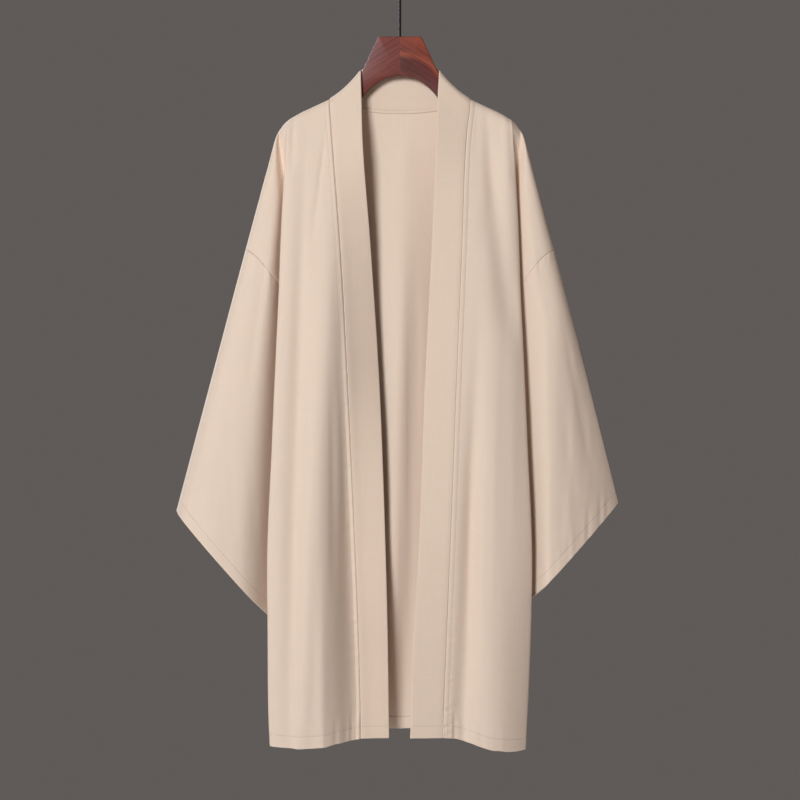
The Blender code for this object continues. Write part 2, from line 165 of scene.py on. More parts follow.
ARMHOLE_TOP = (0.2165, 0.403)
ARMHOLE_BASE = (0.1260, 0.530)
SWELL = {
    "share": (0.00, 0.02, 0.06, 0.14, 0.30, 0.50, 0.64, 0.74, 0.84, 0.92, 1.00),
    "right": (0.00, 0.34, 0.58, 0.80, 0.97, 1.00, 1.00, 0.98, 0.82, 0.48, 0.00),
    "left": (1.00, 1.00, 1.00, 1.00, 1.00, 1.00, 0.98, 0.90, 0.68, 0.38, 0.00),
    "behind": (0.00, 0.30, 0.52, 0.74, 0.95, 1.00, 0.88, 0.70, 0.48, 0.25, 0.00),
    "right_tip": (0.00, 0.34, 0.58, 0.80, 0.98, 0.86, 0.46, 0.20, 0.08, 0.03, 0.00),
    "left_tip": (0.00, 0.42, 0.70, 0.90, 1.00, 0.76, 0.46, 0.28, 0.16, 0.08, 0.00),
    "behind_tip": (0.00, 0.34, 0.58, 0.80, 0.97, 1.00, 0.95, 0.82, 0.60, 0.32, 0.00),
}
ROLL_OUT = 0.2011
ROLL_DROP = 0.516
ROLL_LEAN = 0.147
ROLL_BACK = 1.06
ROLL_SPREAD = 1.02
ROLL_LEAST = 0.006
PEAK_OUT = 0.207
PEAK_SHARE = 0.3
PEAK_TUCK = 0.95
PEAK_SPREAD = 1.2
PEAK_FLAT = (3.4, 1.8)
PEAK_FLAT_RUN = 0.055
PEAK_ROUND = 0.8


def arm_layer(outer, inner, share, bulge, bend, hang, reach=0.0):
    """One layer of the arm, which swells between its outer and inner edges."""
    drop = mix(outer[..., 1], inner[..., 1], share ** bend)
    out = mix(outer[..., 0], inner[..., 0], share)
    swell = read(SWELL, hang, share)
    if hang == "right":
        roll = ROLL_OUT + ROLL_LEAN * (drop - ROLL_DROP)
        spread = np.maximum(ROLL_SPREAD * (roll - read(BODY, "fold", drop)), ROLL_LEAST)
        swell = swell * (1 - ROLL_BACK * np.clip((roll - out) / spread, 0, 1) ** 3)
    if hang == "left":
        peak = np.minimum(PEAK_OUT, mix(outer[..., 0], inner[..., 0], PEAK_SHARE))
        past = np.clip((out - peak) / (outer[..., 0] - peak), 0, 1)
        spread = PEAK_SPREAD * (peak - read(BODY, "fold", drop))
        flat = mix(*PEAK_FLAT, onset(outer[..., 0], ARMHOLE_TOP[0], PEAK_FLAT_RUN))
        tuck = 1 - PEAK_TUCK * ease((peak - out) / spread)
        swell = swell * (1 - past ** flat) ** PEAK_ROUND * tuck
    return places(out, bulge * swell + reach, drop)


DRAPE = 0.0007
DRAPE_PITCH = 0.047
DRAPE_SWAY = 0.010
DRAPE_SWAY_RATE = 5.1
DRAPE_FADE = 0.4
DRAPE_FADE_DOWN = 9.0
DRAPE_FADE_ACROSS = 23.0
FINE_DRAPE = 0.4
FINE_DRAPE_PITCH = 0.023
FINE_DRAPE_SLANT = 0.06


def drape(x, drop, start):
    """Soft, uneven undulation of limp cloth, mostly in long upright lines."""
    line = x + DRAPE_SWAY * np.sin(DRAPE_SWAY_RATE * drop + start)
    fade = np.sin(DRAPE_FADE_DOWN * drop + DRAPE_FADE_ACROSS * x + 1.7 * start)
    broad = ripple(line, DRAPE_PITCH, start)
    fine = ripple(line + FINE_DRAPE_SLANT * drop, FINE_DRAPE_PITCH, 2.7 * start)
    return DRAPE * (1 - DRAPE_FADE + DRAPE_FADE * fade) * (broad + FINE_DRAPE * fine)


HEM_DEPTH = 0.0168
STITCH_DITCH = 0.00028
STITCH_DITCH_WIDTH = 0.0012
PUCKER_PITCH = 0.012
PUCKER_FADE = 0.030


def hem_finish(along, above, start, gather):
    """Turned-up hem: a ditch at its stitches, puckers below them and fading above them."""
    ditch = STITCH_DITCH * bell(above - HEM_DEPTH, STITCH_DITCH_WIDTH)
    fade = onset(above, HEM_DEPTH, PUCKER_FADE)
    return gather * ripple(along, PUCKER_PITCH, start) * (1 - fade) - ditch


SHOULDER_ROLL = 0.0105
PANEL_DROP = 1.083
HEM = {
    "out": (0.000, 0.055, 0.077, 0.105, 0.130, 0.150, 0.185),
    "back": (1.0778, 1.0780, 1.0795, 1.0840, 1.0860, 1.0860, 1.0855),
    "right": (1.0845, 1.0855, 1.0872, 1.0908, 1.0922, 1.0922, 1.0885),
    "left": (1.0765, 1.0772, 1.0800, 1.0880, 1.0952, 1.0980, 1.0978),
}
HEM_WAVE = 0.0006
HEM_WAVE_PITCH = 0.034
DRAPE_FROM = (0.24, 0.25)
SMOOTH_AT_FOLD = 0.12
NECK_FULLNESS = 0.0045
NECK_FULLNESS_FADE = 8
FOLD_STARTS = 0.8
FOLD_TURNS = 0.2
FOLD_ROUND = 0.0055
SIDE_FOLD_FROM = (0.235, 0.090)
AWAY_FROM = (0.25, 0.20)
AWAY_LOW = 0.85
AWAY_LOW_FROM = (0.75, 0.25)
AWAY_SHARE = 1.12
AWAY_WIDTH = 0.33


def body_layer(side, face, top, share, inner, folds, finish, away, down):
    """The part of a panel that hangs before or behind the body, as far as its side fold."""
    start = top[:, 2] + SHOULDER_ROLL
    drop = mix(start, PANEL_DROP, down)
    out = mix(inner(drop), body_fold(side, drop), share)
    hem = read(HEM, "back" if face == BACK else HALF[side], out)
    hem = hem + HEM_WAVE * ripple(side * out, HEM_WAVE_PITCH, 3.0 * face + side)
    drop = mix(start, hem, down)
    out = mix(inner(drop), body_fold(side, drop), share)
    relief = fold_height(folds, side * out, drop)
    relief = relief + drape(side * out, drop, 1.3 * face) * onset(drop, *DRAPE_FROM)
    depth = read(BODY, "back" if face == BACK else "front", drop)
    depth = depth + relief * ease((1 - share) / SMOOTH_AT_FOLD)
    if face == BACK:
        full = np.maximum(0, 1 - (out / NECK_OUT) ** 2) ** 2
        depth = depth + NECK_FULLNESS * full * (1 - down) ** NECK_FULLNESS_FADE
    turned = onset(drop, *AWAY_FROM) + AWAY_LOW * onset(drop, *AWAY_LOW_FROM)
    depth = depth - away * turned * bell(share - AWAY_SHARE, AWAY_WIDTH)
    turn = np.maximum(0, (share - FOLD_STARTS) / FOLD_TURNS)
    opened = onset(drop, *SIDE_FOLD_FROM)
    depth = depth - FOLD_ROUND * opened * (1 - np.sqrt(1 - turn * turn))
    return places(out, depth + finish(side, out, drop, hem - drop), drop)


FOLD_LIP = 0.10
LIP_TURNS = np.linspace(0, np.pi / 2, 8)
FLANK_SHARES = joined((FOLD_LIP * (1 - np.cos(LIP_TURNS[1:])), np.linspace(FOLD_LIP, 1, 16)[1:]))
FLANK_BEND = 2.4
FLANK_ROUND = 1.5
SIDE_FOLD_SPREAD = 0.025


def side_flank(fold, valley):
    """Cloth behind the side fold, back in to the valley between the body and the arm."""
    tuck = ease((fold[..., 0] - valley[..., 0]) / SIDE_FOLD_SPREAD)
    flank = mix(fold, valley, FLANK_SHARES[:, None])
    bent = mix(fold[..., 1], valley[..., 1], FLANK_SHARES ** mix(1, FLANK_BEND, tuck))
    lip = np.sqrt(1 - (1 - np.clip(FLANK_SHARES / FOLD_LIP, 0, 1)) ** 2)
    flank[..., 1] = bent - FOLD_ROUND * tuck * lip * (1 - FLANK_SHARES) ** FLANK_ROUND
    return flank


SIDE_SEAM_GAP = 0.0022
VALLEY_TOP_DROP = 0.245
VALLEY_END_DROP = 1.086
VALLEY = {
    "drop": (0.245, 0.280, 0.340, 0.420, 0.480, 0.530, 0.570, 0.700, 0.900, 1.095),
    "out": (0.1665, 0.1600, 0.1500, 0.1390, 0.1320, 0.1260, 0.1200, 0.1120, 0.1080, 0.1060),
    "depth": (0.0090, 0.0080, 0.0095, 0.0110, 0.0085) + 5 * (SIDE_SEAM_GAP / 2,),
}
TIP_EDGE_HUNG = (0.1780, 0.2600)
TIP_BULGE = {RIGHT: 0.012, LEFT: 0.013}
ARMHOLE_BULGE = {RIGHT: 0.022, LEFT: 0.017}
ARMHOLE_BEND = 1.5
ARMHOLE_SHARE = (ARMHOLE_BASE[1] - VALLEY_TOP_DROP) / (VALLEY_END_DROP - VALLEY_TOP_DROP)
ARM_ROWS = 80
ARM_SHARES = joined((np.linspace(1, 0.06, 22)[1:], np.geomspace(0.045, 0.004, 6), (0,)))
ARM_EDGE = 0.1
ARM_REACH_BEND = (2, 10)
ARM_REACH_RUN = 0.25
PUCKER = 0.0007
SEAM_PUCKER_PITCH = 0.010
ARM_PUCKER_RUN = 0.011
SEAM_DIP = 0.0003
SEAM_DIP_WIDTH = 0.0022


def upper_arm(side, face, valley, down):
    """Upper arm, cut in one with the panel, from the valley out and down to the dropped armhole."""
    arm = np.minimum(down / ARMHOLE_SHARE, 1)
    outer = mix(np.array(TIP_EDGE_HUNG), np.array(ARMHOLE_TOP), arm)[:, None]
    reach = valley[..., 1] * ARM_SHARES ** mix(*ARM_REACH_BEND, ease(arm / ARM_REACH_RUN))
    bulge = mix(TIP_BULGE[side], ARMHOLE_BULGE[side], ease(arm))
    hang = "behind" if face == BACK else HALF[side]
    layer = arm_layer(outer, valley[..., [0, 2]], ARM_SHARES, bulge, ARMHOLE_BEND, hang, reach)
    tip = bulge * read(SWELL, hang + "_tip", ARM_SHARES) + reach
    layer[..., 1] = mix(tip, layer[..., 1], ease(arm))
    to_seam = (1 - arm) * (ARMHOLE_TOP[1] - TIP_EDGE_HUNG[1])
    puckers = PUCKER * ripple(layer[..., 0], SEAM_PUCKER_PITCH, 1.0 + side) * bell(to_seam, ARM_PUCKER_RUN)
    layer[..., 1] += (puckers - SEAM_DIP * bell(to_seam, SEAM_DIP_WIDTH)) * ease(ARM_SHARES / ARM_EDGE)
    layer[..., 1] = np.maximum(layer[..., 1], SHOULDER_GAP / 2)
    layer[ARM_ROWS:] = np.nan
    return layer


NECK_CORNER_SOFT = 0.006
NECK_SOFT_FADE = 8
SOFT_FROM = 4
SOFT_TO = 26
SOFT_PASSES = 10


def soften_neck(high):
    """Evens the depth of the back's upper rows across the neck's corner, where cloth won't crease."""
    apart = high[:, :, None, 0] - high[:, None, :, 0]
    weights = bell(apart, NECK_CORNER_SOFT) * np.gradient(high[..., 0], axis=1)[:, None]
    softened = (weights * high[:, None, :, 1]).sum(axis=2) / weights.sum(axis=2)
    row = np.arange(1, SOFT_TO)[:, None]
    strength = ease(row / NECK_SOFT_FADE) * ease((SOFT_TO - row) / NECK_SOFT_FADE)
    high[..., 1] = mix(high[..., 1], softened, strength)


TIP_FOLD_OUT = 0.155
TIP_VALLEY_OUT = 0.165
TIP_EDGE_OUT = 0.1755
ROLL_TURNS = np.radians(np.linspace(0, 80, 9))


def half_panel(side, face, top, share, inner, folds, finish, away, rows):
    """One half of a body panel, from its inner edge round the side fold to its outer edge."""
    down = rows[:, None]
    layer = body_layer(side, face, top, share, inner, folds, finish, away, down)
    valley_drop = mix(VALLEY_TOP_DROP, VALLEY_END_DROP, down)
    valley = places(read(VALLEY, "out", valley_drop), read(VALLEY, "depth", valley_drop), valley_drop)
    arm = upper_arm(side, face, valley, down)
    hung = joined((layer, side_flank(layer[:, -1:], valley), arm), axis=1)
    tip_outs = joined((mix(TIP_FOLD_OUT, TIP_VALLEY_OUT, FLANK_SHARES),
                       mix(TIP_EDGE_OUT, TIP_VALLEY_OUT, ARM_SHARES)))
    edge = joined((top, shoulder_line(tip_outs)))
    rolls = []
    for angle in ROLL_TURNS:
        row = mix(edge, hung[0], 1 - math.cos(angle))
        row[:, 1] = mix(edge[:, 1], hung[0, :, 1], math.sin(angle))
        rolls.append(row)
    panel = joined((np.array(rolls), hung))
    for _ in range(SOFT_PASSES):
        above, here, below = (panel[SOFT_FROM + step:SOFT_TO + step, :, 1] for step in (-1, 0, 1))
        panel[SOFT_FROM:SOFT_TO, :, 1] = (above + 2 * here + below) / 4
    if face == BACK:
        soften_neck(panel[1:SOFT_TO, :len(top)])
    return panel


def cloth_map(points):
    """Flat place of each point on its cut piece, in metres."""
    across = np.nanmean(np.linalg.norm(np.diff(points, axis=1), axis=2), axis=0)
    along = np.nanmean(np.linalg.norm(np.diff(points, axis=0), axis=2), axis=1)
    flat = np.meshgrid(np.append(0, np.cumsum(across)), np.append(0, np.cumsum(along)))
    return np.stack(flat, axis=-1)


def finished(bm, name, surface):
    """A piece of the scene made from its bmesh, smooth and with its place in its mesh."""
    for face in bm.faces:
        face.smooth = True
    mesh = bpy.data.meshes.new(name)
    bm.to_mesh(mesh)
    bm.free()
    mesh.materials.append(surface)
    piece = bpy.data.objects.new(name, mesh)
    bpy.context.scene.collection.objects.link(piece)
    return piece


def cloth(name, points, walls, surface, flipped=False, closed=False):
    """Sewn piece: a fine grid laid over points[row, column], with a wall towards its inside."""
    rows, columns = points.shape[:2]
    flat = cloth_map(points)
    bm = bmesh.new()
    weights = bm.verts.layers.deform.verify()
    weave_map = bm.loops.layers.uv.new("weave")
    bmesh.ops.create_grid(bm, x_segments=columns - 1, y_segments=rows - 1, size=0.5)
    spots = {vert: (round((vert.co.y + 0.5) * (rows - 1)), round((vert.co.x + 0.5) * (columns - 1)))
             for vert in bm.verts}
    for face in bm.faces:
        for loop in face.loops:
            loop[weave_map].uv = flat[spots[loop.vert]]
    for vert, spot in spots.items():
        vert.co = np.nan_to_num(points[spot])
        if walls is not None:
            vert[weights][0] = walls[spot] / walls.max()
    missing = [vert for vert, spot in spots.items() if np.isnan(points[spot]).any()]
    bmesh.ops.delete(bm, geom=missing, context="VERTS")
    bmesh.ops.remove_doubles(bm, verts=bm.verts, dist=1e-6)
    if closed:
        bmesh.ops.holes_fill(bm, edges=[edge for edge in bm.edges if edge.is_boundary])
    if flipped:
        bmesh.ops.reverse_faces(bm, faces=bm.faces)
    piece = finished(bm, name, surface)
    if walls is not None:
        piece.vertex_groups.new(name="wall")
        shell = piece.modifiers.new("Wall", "SOLIDIFY")
        shell.thickness = walls.max()
        shell.offset = -1
        shell.vertex_group = "wall"
    return piece


WALL = 0.0008
HEM_WALL = 0.0017
HEM_ZONE = 0.024
HEM_ZONE_ROWS = 27
HEM_TURNED_ROWS = 19


def hem_rows(length):
    """Fine rows at the end of a piece of this length, as shares of it."""
    return 1 - np.linspace(HEM_ZONE, 0, HEM_ZONE_ROWS) / length


def hemmed(points):
    """Wall of a piece whose lowest rows are turned up."""
    walls = np.full(points.shape[:2], WALL)
    walls[-HEM_TURNED_ROWS:] = HEM_WALL
    return walls


SLUB_FINE = 900
SLUB_LONG = 18
THREADS_TO_METRE = 1800


def set_inputs(tree, node, inputs):
    """Gives a node's inputs, by name or number, a value or the output of another node."""
    for socket, value in inputs.items():
        if isinstance(value, bpy.types.NodeSocket):
            tree.links.new(value, node.inputs[socket])
        else:
            node.inputs[socket].default_value = value


def add_node(tree, kind, inputs, **settings):
    node = tree.nodes.new("ShaderNode" + kind)
    for name, value in settings.items():
        setattr(node, name, value)
    set_inputs(tree, node, inputs)
    return node.outputs


def weave_group():
    """Plain weave: threads that pass over and under each other, with a few uneven ones."""
    group = bpy.data.node_groups.new("plain_weave", "ShaderNodeTree")
    for socket, kind in (("Flat", "Vector"), ("Threads", "Float"), ("Colour", "Color"), ("Uneven", "Float")):
        group.interface.new_socket(socket, in_out="INPUT", socket_type="NodeSocket" + kind)
    for socket, kind in (("Colour", "Color"), ("Height", "Float")):
        group.interface.new_socket(socket, in_out="OUTPUT", socket_type="NodeSocket" + kind)
    given = group.nodes.new("NodeGroupInput").outputs

    def work(operation, *inputs):
        return add_node(group, "Math", dict(enumerate(inputs)), operation=operation)[0]

    def streaks(scale_u, scale_v):
        stretch = {0: given["Flat"], 1: (scale_u, scale_v, 1)}
        stretched = add_node(group, "VectorMath", stretch, operation="MULTIPLY")
        return add_node(group, "TexNoise", {"Vector": stretched[0], "Scale": 1, "Detail": 2})["Fac"]

    split = add_node(group, "SeparateXYZ", {0: given["Flat"]})
    counts = [work("MULTIPLY", split[axis], given["Threads"]) for axis in "XY"]
    warp, weft = (work("SINE", work("MULTIPLY", work("FRACT", count), math.pi)) for count in counts)
    over = work("FLOORED_MODULO", work("ADD", *(work("FLOOR", count) for count in counts)), 2.0)
    under = work("SUBTRACT", 1.0, over)
    height = work("ADD", work("MULTIPLY", warp, over), work("MULTIPLY", weft, under))
    uneven = work("ADD", streaks(SLUB_FINE, SLUB_LONG), streaks(SLUB_LONG, SLUB_FINE))
    change = work("MULTIPLY", work("SUBTRACT", uneven, 1.0), given["Uneven"])
    tone = add_node(group, "HueSaturation", {"Color": given["Colour"], "Value": work("ADD", change, 1.0)})
    set_inputs(group, group.nodes.new("NodeGroupOutput"), {"Colour": tone[0], "Height": height})
    return group


def new_finish(name):
    surface = bpy.data.materials.new(name)
    surface.use_nodes = True
    return surface, surface.node_tree, surface.node_tree.nodes["Principled BSDF"]


plain_weave = weave_group()
CLOTH_FINISH = {
    "Roughness": 0.75,
    "Specular IOR Level": 0.3,
    "Subsurface Weight": 0.3,
    "Subsurface Radius": (1.0, 0.80, 0.65),
    "Subsurface Scale": 0.0004,
    "Sheen Weight": 0.15,
    "Sheen Roughness": 0.5,
    "Sheen Tint": (1.0, 0.93, 0.86, 1),
}


def cloth_material(name, colour):
    """Beige woven cloth, matte with a faint sheen."""
    surface, tree, shader = new_finish(name)
    flat = add_node(tree, "UVMap", {}, uv_map="weave")
    threads = {"Flat": flat[0], "Threads": THREADS_TO_METRE, "Colour": (*colour, 1), "Uneven": 0.06}
    weave = add_node(tree, "Group", threads, node_tree=plain_weave)
    bump = add_node(tree, "Bump", {"Strength": 0.25, "Distance": 0.0001, "Height": weave["Height"]})
    set_inputs(tree, shader, {"Base Color": weave["Colour"], "Normal": bump[0], **CLOTH_FINISH})
    return surface


PANEL_LENGTH = 0.88
BACK_AWAY = 0.008
BACK_GATHER = 0.0004
BACK_FOLDS = (
    Fold(-0.112, 0.3, -0.104, 1.3, 0.02, 0.032, -0.018),
    Fold(-0.044, 0.42, -0.056, 1.3, 0.022, 0.03, 0.012),
    Fold(0.0, 0.12, 0.0, 0.99, 0.048, 0.05, -0.022),
    Fold(0.006, 0.28, -0.016, 1.15, 0.011, 0.013, -0.006),
    Fold(0.028, 0.28, 0.006, 1.15, 0.011, 0.013, 0.006),
    Fold(0.068, 0.36, 0.06, 1.3, 0.022, 0.034, 0.01),
    Fold(0.12, 0.3, 0.112, 1.3, 0.018, 0.03, -0.016),
    Fold(-0.146, 0.23, -0.122, 0.56, 0.007, 0.014, -0.0035),
    Fold(0.142, 0.235, 0.116, 0.6, 0.007, 0.015, -0.004),
    Fold(-0.082, 0.56, -0.078, 1.25, 0.01, 0.017, 0.0035),
    Fold(0.04, 0.64, 0.038, 1.3, 0.009, 0.016, -0.004),
    Fold(0.01, 0.205, 0.004, 0.33, 0.005, 0.01, -0.0016),
)


def back_finish(side, out, drop, above):
    return hem_finish(side * out, above, 0.7, BACK_GATHER)


woven_cloth = cloth_material("woven_cloth", (0.78, 0.595, 0.45))
panel_hem = hem_rows(PANEL_LENGTH)
armhole_down = np.linspace(0, ARMHOLE_SHARE, ARM_ROWS)
back_down = joined((armhole_down, np.linspace(ARMHOLE_SHARE, panel_hem[0], 118)[1:-1], panel_hem))
neck_turns = ease(np.linspace(0, 1, 26))
fold_shares = FOLD_STARTS + FOLD_TURNS * np.sin(LIP_TURNS[1:])
back_shoulder_outs = joined((np.linspace(NECK_OUT, FOLD_STARTS * TIP_FOLD_OUT, 9)[1:],
                             TIP_FOLD_OUT * fold_shares))
back_top = joined((neck_line(neck_turns), shoulder_line(back_shoulder_outs)))
back_shares = back_top[:, 0] / TIP_FOLD_OUT
back_right, back_left = (
    world(side, BACK, half_panel(side, BACK, back_top, back_shares, lambda drop: 0 * drop, BACK_FOLDS,
                                 back_finish, BACK_AWAY, back_down)) for side in HALF)
back_points = joined((back_right[:, ::-1], back_left[:, 1:]), axis=1)
back = cloth("back_cloth", back_points, hemmed(back_points), woven_cloth)
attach(back, "root")
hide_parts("back")

# Fronts: two panels of the same cloth, each cut in one with its half of the shoulder. Their inner
# edges are turned under and stitched down beside the collar's seam, so they stand a little proud.
LAPEL = {
    "drop": (0.150, 0.190, 0.235, 0.400, 0.600, 0.800, 0.950, 1.080),
    "right_edge": (0.0548, 0.0536, 0.0525, 0.0408, 0.0282, 0.0206, 0.0169, 0.0152),
    "left_edge": (0.0548, 0.0525, 0.0510, 0.0438, 0.0340, 0.0268, 0.0186, 0.0138),
    "right_seam": (0.0990, 0.0990, 0.0958, 0.0828, 0.0722, 0.0637, 0.0579, 0.0546),
    "left_seam": (0.0990, 0.0990, 0.0938, 0.0860, 0.0777, 0.0700, 0.0638, 0.0585),
}
FRONT_AWAY = {RIGHT: 0.000, LEFT: 0.0130}
FRONT_FOLDS = {
    RIGHT: (
        Fold(-0.082, 0.2, -0.056, 1.25, 0.012, 0.03, -0.014),
        Fold(-0.076, 0.54, -0.057, 1.25, 0.016, 0.028, -0.024),
        Fold(-0.06, 0.7, -0.046, 1.32, 0.01, 0.014, -0.007),
        Fold(-0.084, 0.2, -0.15, 1.25, 0.015, 0.026, 0.007),
        Fold(-0.13, 0.16, -0.157, 1.25, 0.009, 0.012, -0.0055),
        Fold(-0.095, 0.54, -0.092, 0.9, 0.003, 0.005, -0.0014),
        Fold(-0.0865, 0.55, -0.083, 0.82, 0.003, 0.005, 0.0012),
        Fold(-0.0985, 0.2, -0.124, 0.41, 0.0018, 0.006, -0.0011),
        Fold(-0.148, 0.19, -0.151, 0.31, 0.0025, 0.006, -0.0014),
        Fold(-0.107, 0.8, -0.108, 1.3, 0.007, 0.01, 0.003),
    ),
    LEFT: (
        Fold(0.112, 0.45, 0.078, 1.25, 0.009, 0.014, -0.008),
        Fold(0.122, 0.3, 0.134, 1.3, 0.02, 0.028, 0.004),
        Fold(0.108, 0.15, 0.158, 0.56, 0.012, 0.017, -0.0062),
        Fold(0.112, 0.18, 0.12, 0.36, 0.005, 0.009, 0.0016),
        Fold(0.146, 0.18, 0.15, 0.33, 0.005, 0.008, 0.0016),
        Fold(0.1, 0.64, 0.098, 1.05, 0.006, 0.01, -0.0014),
    ),
}
SEAM_STITCH_IN = 0.0065
SEAM_PROUD = {RIGHT: 0.0012, LEFT: 0.0009}
SEAM_PROUD_WIDTH = 0.0062
SEAM_GROOVE = {RIGHT: 0.0012, LEFT: 0.0004}
SEAM_GROOVE_WIDTH = 0.0011
SEAM_PUCKER_IN = 0.004
HIGH_PUCKER_PITCH = 0.017
HIGH_PUCKER_WIDTH = 0.011
LOW_PUCKER = {RIGHT: 0.0005, LEFT: 0.0009}
LOW_PUCKER_FROM = (0.95, 0.09)
LOW_PUCKER_PITCH = 0.0115
LOW_PUCKER_SLANT = 0.5
LOW_PUCKER_WIDTH = 0.014
LOW_PUCKER_CHANGE = 0.043
HEM_GATHER = {RIGHT: 0.0016, LEFT: 0.0015}
HEM_GATHER_LEAST = 0.0002
HEM_GATHER_IN = 0.014
HEM_GATHER_WIDTH = 0.032


def front_seam(side):
    return lambda drop: read(LAPEL, HALF[side] + "_seam", drop)


def front_finish(side, out, drop, above):
    """Edge beside the collar: proud, rolled under at the seam, and drawn in at its stitches."""
    inside = out - front_seam(side)(drop)
    edge = SEAM_PROUD[side] * bell(inside, SEAM_PROUD_WIDTH)
    edge = edge - SEAM_GROOVE[side] * bell(inside, SEAM_GROOVE_WIDTH)
    edge = edge - STITCH_DITCH * bell(inside - SEAM_STITCH_IN, SEAM_GROOVE_WIDTH)
    low = onset(drop, *LOW_PUCKER_FROM)
    high = (1 - low) * PUCKER * ripple(drop, HIGH_PUCKER_PITCH, 2.0 + side)
    edge = edge + high * bell(inside - SEAM_PUCKER_IN, HIGH_PUCKER_WIDTH)
    uneven = low * LOW_PUCKER[side] * (0.6 + 0.5 * ripple(drop, LOW_PUCKER_CHANGE, 0.7))
    low = uneven * ripple(drop + LOW_PUCKER_SLANT * inside, LOW_PUCKER_PITCH, 1.0)
    edge = edge + low * bell(inside - SEAM_PUCKER_IN, LOW_PUCKER_WIDTH)
    gather = mix(HEM_GATHER_LEAST, HEM_GATHER[side], bell(inside - HEM_GATHER_IN, HEM_GATHER_WIDTH))
    return edge + hem_finish(side * out, above, 1.9 + side, gather)


def no_finish(side, out, drop, above):
    return 0 * drop


SKIRT_SHARE = 0.80
SEAM_EDGE_SHARE = 0.13
front_down = joined((armhole_down, np.linspace(ARMHOLE_SHARE, SKIRT_SHARE, 100)[1:],
                     np.linspace(SKIRT_SHARE, panel_hem[0], 90)[1:-1], panel_hem))
front_shares = joined((np.linspace(0, SEAM_EDGE_SHARE, 18),
                       np.linspace(SEAM_EDGE_SHARE, FOLD_STARTS, 34)[1:], fold_shares))
front_top = shoulder_line(mix(NECK_OUT, TIP_FOLD_OUT, front_shares))
front_halves = {}
front_seams = {}
fronts = {}
for side, half in HALF.items():
    front_halves[side], plain = (
        half_panel(side, FRONT, front_top, front_shares, front_seam(side), FRONT_FOLDS[side], finish,
                   FRONT_AWAY[side], front_down) for finish in (front_finish, no_finish))
    front_seams[side] = plain[:, 0]
    points = world(side, FRONT, front_halves[side])
    name = "front_" + half
    fronts[side] = cloth(name + "_cloth", points, hemmed(points), woven_cloth, side == LEFT)
    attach(fronts[side], "root")
    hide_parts(name)

# Sleeves: wide tubes of the same cloth, folded at the outer edge and sewn along the inner one.
# Each is set into its dropped armhole and hemmed at the cuff, and hangs flat and a little full.
CUFF_TOP = {RIGHT: (0.3130, 0.7670), LEFT: (0.3085, 0.7575)}
CUFF_BASE = {RIGHT: (0.1640, 0.9360), LEFT: (0.1600, 0.9150)}
CUFF_BULGE = {RIGHT: 0.040, LEFT: 0.030}
CUFF_GATHER = {RIGHT: 0.0003, LEFT: 0.0012}
CUFF_GATHER_INNER = 0.25
CUFF_GATHER_RUN = 0.8
CUFF_PUCKER_RUN = 0.75
SLEEVE_LENGTH = 0.38
SLEEVE_SWING = {RIGHT: 0.0, LEFT: 0.024}
SLEEVE_SWING_BEND = 1.7
SLEEVE_SWING_RUN = 0.6
SLEEVE_HEAD = 0.05
SLEEVE_START = {"outer": 0.0003, "inner": 0.0008}
SLEEVE_REACH = 0.965
SLEEVE_PUCKER_RUN = 0.013
SLEEVE_EDGE = 0.10
SLEEVE_SEAM = 0.08
SLEEVE_LEAST = 0.0004
Crease = namedtuple("Crease", "face start end start_share end_share width height")
SLEEVE_CREASES = {
    RIGHT: (
        Crease(FRONT, -0.1, 0.5, 0.3, 0.42, 0.06, -0.0012),
        Crease(BACK, 0.0, 1.1, 0.55, 0.62, 0.09, -0.004),
        Crease(BACK, 0.25, 1.0, 0.28, 0.24, 0.06, -0.0022),
    ),
    LEFT: (
        Crease(FRONT, 0.45, 1.2, 0.3, 0.42, 0.05, -0.0009),
        Crease(FRONT, 0.2, 0.9, 0.13, 0.17, 0.04, -0.001),
        Crease(BACK, 0.0, 1.1, 0.6, 0.55, 0.09, -0.004),
        Crease(BACK, 0.2, 1.0, 0.3, 0.36, 0.06, -0.002),
    ),
}
cuff_hem = hem_rows(SLEEVE_LENGTH)
sleeve_down = joined((np.linspace(0, SLEEVE_HEAD, 14),
                      np.linspace(SLEEVE_HEAD, cuff_hem[0], 84)[1:-1], cuff_hem))[:, None]
sleeve_shares = joined((np.linspace(SLEEVE_REACH, 0.06, 66)[1:], np.geomspace(0.05, 0.003, 7)))


def swung(side, points):
    """A sleeve whose outer edge has swung back a little, more towards the cuff."""
    past = np.clip((np.abs(points[..., 0]) - PEAK_OUT) / (CUFF_TOP[side][0] - PEAK_OUT), 0, 1)
    back = SLEEVE_SWING[side] * past ** SLEEVE_SWING_BEND * ease(sleeve_down / SLEEVE_SWING_RUN)
    return points + np.stack((0 * back, back, 0 * back), axis=-1)


